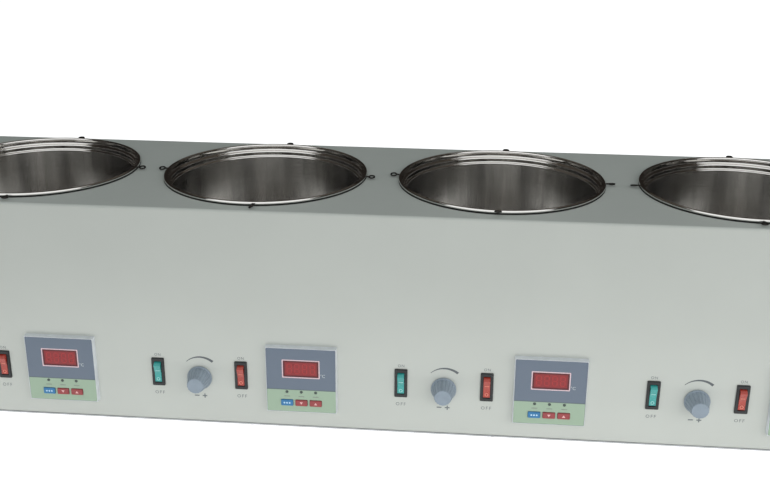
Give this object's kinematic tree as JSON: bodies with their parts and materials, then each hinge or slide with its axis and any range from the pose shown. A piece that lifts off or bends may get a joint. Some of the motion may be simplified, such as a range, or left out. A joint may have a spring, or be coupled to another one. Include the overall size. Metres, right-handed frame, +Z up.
{
  "type": "water bath magnetic stirrer",
  "caption": "Long bench-top stirrer with round heated water baths sunk in its top and, below each bath, rocker switches, a speed knob and a temperature controller.",
  "frame": {"origin": "on the bench, under the middle of the whole object", "axes": "+Z up, +X to the right along the front, the front panel faces -Y"},
  "size_m": [1.0248, 0.2734, 0.259],
  "materials": {
    "case_paint": "smooth light grey baked paint",
    "zinc_sheet": "zinc-plated sheet",
    "rubber": "matte black rubber",
    "zinc_steel": "zinc-plated steel",
    "stainless": "polished spun stainless steel",
    "dark_wire": "dark drawn wire",
    "silicone": "silicone rubber mat",
    "sensor_metal": "plain",
    "motor_can": "plated can",
    "rotor_metal": "turned aluminium",
    "black_plastic": "moulded, fine texture",
    "green_rocker": "translucent green",
    "red_rocker": "translucent red",
    "brass": "turned",
    "knob_grey": "satin moulded plastic",
    "controller_grey": "satin moulded plastic",
    "face_overlay": "printed overlay, slate above pale green",
    "red_window": "dark red filter",
    "lamp_dark": "unlit lamp",
    "key_blue": "blue key",
    "key_red": "red key",
    "board_green": "circuit board"
  },
  "bodies": {
    "case": {"wrap_panel": "case_paint", "end_panel_left": "case_paint", "end_panel_right": "case_paint", "base_plate": "zinc_sheet", "motor_brackets": "zinc_sheet", "controller_clips": "zinc_sheet", "rubber_feet": "rubber", "rim_seals": "rubber", "foot_screws": "zinc_steel", "case_screws": "zinc_steel", "speed_controls": "zinc_steel", "bath_bowl_1": "stainless", "bath_bowl_2": "stainless", "bath_bowl_3": "stainless", "bath_bowl_4": "stainless", "rim_eyes": "dark_wire", "heating_mats": "silicone", "temperature_sensors": "sensor_metal", "stirrer_motors": "motor_can", "switch_bodies": "black_plastic", "power_inlet": "black_plastic", "control_nuts": "brass", "board_pillars": "brass", "controller_cases": "controller_grey", "controller_faces": "face_overlay", "display_windows": "red_window", "indicator_lamps": "lamp_dark", "speed_boards": "board_green"},
    "stir_rocker_1": {"stir_rocker_1": "green_rocker"},
    "heat_rocker_1": {"heat_rocker_1": "red_rocker"},
    "speed_knob_1": {"speed_knob_1": "knob_grey", "control_shaft_1": "zinc_steel"},
    "set_key_1": {"set_key_1": "key_blue"},
    "down_key_1": {"down_key_1": "key_red"},
    "up_key_1": {"up_key_1": "key_red"},
    "magnet_rotor_1": {"magnet_rotor_1": "rotor_metal"},
    "stir_rocker_2": {"stir_rocker_2": "green_rocker"},
    "heat_rocker_2": {"heat_rocker_2": "red_rocker"},
    "speed_knob_2": {"speed_knob_2": "knob_grey", "control_shaft_2": "zinc_steel"},
    "set_key_2": {"set_key_2": "key_blue"},
    "down_key_2": {"down_key_2": "key_red"},
    "up_key_2": {"up_key_2": "key_red"},
    "magnet_rotor_2": {"magnet_rotor_2": "rotor_metal"},
    "stir_rocker_3": {"stir_rocker_3": "green_rocker"},
    "heat_rocker_3": {"heat_rocker_3": "red_rocker"},
    "speed_knob_3": {"speed_knob_3": "knob_grey", "control_shaft_3": "zinc_steel"},
    "set_key_3": {"set_key_3": "key_blue"},
    "down_key_3": {"down_key_3": "key_red"},
    "up_key_3": {"up_key_3": "key_red"},
    "magnet_rotor_3": {"magnet_rotor_3": "rotor_metal"},
    "stir_rocker_4": {"stir_rocker_4": "green_rocker"},
    "heat_rocker_4": {"heat_rocker_4": "red_rocker"},
    "speed_knob_4": {"speed_knob_4": "knob_grey", "control_shaft_4": "zinc_steel"},
    "set_key_4": {"set_key_4": "key_blue"},
    "down_key_4": {"down_key_4": "key_red"},
    "up_key_4": {"up_key_4": "key_red"},
    "magnet_rotor_4": {"magnet_rotor_4": "rotor_metal"}
  },
  "joints": [
    {"name": "stir_switch_1", "type": "hinge", "parent": "case", "child": "stir_rocker_1", "pos_m": [-0.4785, -0.1135, 0.0705], "axis": [-1, 0, 0], "range_deg": [0, 20]},
    {"name": "heat_switch_1", "type": "hinge", "parent": "case", "child": "heat_rocker_1", "pos_m": [-0.3905, -0.1135, 0.0705], "axis": [-1, 0, 0], "range_deg": [0, 20]},
    {"name": "speed_turn_1", "type": "hinge", "parent": "case", "child": "speed_knob_1", "pos_m": [-0.4345, -0.1159, 0.0659], "axis": [0, 1, 0], "range_deg": [0, 280]},
    {"name": "set_press_1", "type": "slide", "parent": "case", "child": "set_key_1", "axis": [0, 1, 0], "range_m": [0, 0.0008], "stiffness_N_per_m": 600},
    {"name": "down_press_1", "type": "slide", "parent": "case", "child": "down_key_1", "axis": [0, 1, 0], "range_m": [0, 0.0008], "stiffness_N_per_m": 600},
    {"name": "up_press_1", "type": "slide", "parent": "case", "child": "up_key_1", "axis": [0, 1, 0], "range_m": [0, 0.0008], "stiffness_N_per_m": 600},
    {"name": "rotor_spin_1", "type": "hinge", "parent": "case", "child": "magnet_rotor_1", "pos_m": [-0.3825, 0.0091, 0.13195], "axis": [0, 0, 1], "continuous": true},
    {"name": "stir_switch_2", "type": "hinge", "parent": "case", "child": "stir_rocker_2", "pos_m": [-0.2235, -0.1135, 0.0705], "axis": [-1, 0, 0], "range_deg": [0, 20]},
    {"name": "heat_switch_2", "type": "hinge", "parent": "case", "child": "heat_rocker_2", "pos_m": [-0.1355, -0.1135, 0.0705], "axis": [-1, 0, 0], "range_deg": [0, 20]},
    {"name": "speed_turn_2", "type": "hinge", "parent": "case", "child": "speed_knob_2", "pos_m": [-0.1795, -0.1159, 0.0659], "axis": [0, 1, 0], "range_deg": [0, 280]},
    {"name": "set_press_2", "type": "slide", "parent": "case", "child": "set_key_2", "axis": [0, 1, 0], "range_m": [0, 0.0008], "stiffness_N_per_m": 600},
    {"name": "down_press_2", "type": "slide", "parent": "case", "child": "down_key_2", "axis": [0, 1, 0], "range_m": [0, 0.0008], "stiffness_N_per_m": 600},
    {"name": "up_press_2", "type": "slide", "parent": "case", "child": "up_key_2", "axis": [0, 1, 0], "range_m": [0, 0.0008], "stiffness_N_per_m": 600},
    {"name": "rotor_spin_2", "type": "hinge", "parent": "case", "child": "magnet_rotor_2", "pos_m": [-0.1275, 0.0091, 0.13195], "axis": [0, 0, 1], "continuous": true},
    {"name": "stir_switch_3", "type": "hinge", "parent": "case", "child": "stir_rocker_3", "pos_m": [0.0315, -0.1135, 0.0705], "axis": [-1, 0, 0], "range_deg": [0, 20]},
    {"name": "heat_switch_3", "type": "hinge", "parent": "case", "child": "heat_rocker_3", "pos_m": [0.1195, -0.1135, 0.0705], "axis": [-1, 0, 0], "range_deg": [0, 20]},
    {"name": "speed_turn_3", "type": "hinge", "parent": "case", "child": "speed_knob_3", "pos_m": [0.0755, -0.1159, 0.0659], "axis": [0, 1, 0], "range_deg": [0, 280]},
    {"name": "set_press_3", "type": "slide", "parent": "case", "child": "set_key_3", "axis": [0, 1, 0], "range_m": [0, 0.0008], "stiffness_N_per_m": 600},
    {"name": "down_press_3", "type": "slide", "parent": "case", "child": "down_key_3", "axis": [0, 1, 0], "range_m": [0, 0.0008], "stiffness_N_per_m": 600},
    {"name": "up_press_3", "type": "slide", "parent": "case", "child": "up_key_3", "axis": [0, 1, 0], "range_m": [0, 0.0008], "stiffness_N_per_m": 600},
    {"name": "rotor_spin_3", "type": "hinge", "parent": "case", "child": "magnet_rotor_3", "pos_m": [0.1275, 0.0091, 0.13195], "axis": [0, 0, 1], "continuous": true},
    {"name": "stir_switch_4", "type": "hinge", "parent": "case", "child": "stir_rocker_4", "pos_m": [0.2865, -0.1135, 0.0705], "axis": [-1, 0, 0], "range_deg": [0, 20]},
    {"name": "heat_switch_4", "type": "hinge", "parent": "case", "child": "heat_rocker_4", "pos_m": [0.3745, -0.1135, 0.0705], "axis": [-1, 0, 0], "range_deg": [0, 20]},
    {"name": "speed_turn_4", "type": "hinge", "parent": "case", "child": "speed_knob_4", "pos_m": [0.3305, -0.1159, 0.0659], "axis": [0, 1, 0], "range_deg": [0, 280]},
    {"name": "set_press_4", "type": "slide", "parent": "case", "child": "set_key_4", "axis": [0, 1, 0], "range_m": [0, 0.0008], "stiffness_N_per_m": 600},
    {"name": "down_press_4", "type": "slide", "parent": "case", "child": "down_key_4", "axis": [0, 1, 0], "range_m": [0, 0.0008], "stiffness_N_per_m": 600},
    {"name": "up_press_4", "type": "slide", "parent": "case", "child": "up_key_4", "axis": [0, 1, 0], "range_m": [0, 0.0008], "stiffness_N_per_m": 600},
    {"name": "rotor_spin_4", "type": "hinge", "parent": "case", "child": "magnet_rotor_4", "pos_m": [0.3825, 0.0091, 0.13195], "axis": [0, 0, 1], "continuous": true}
  ]
}
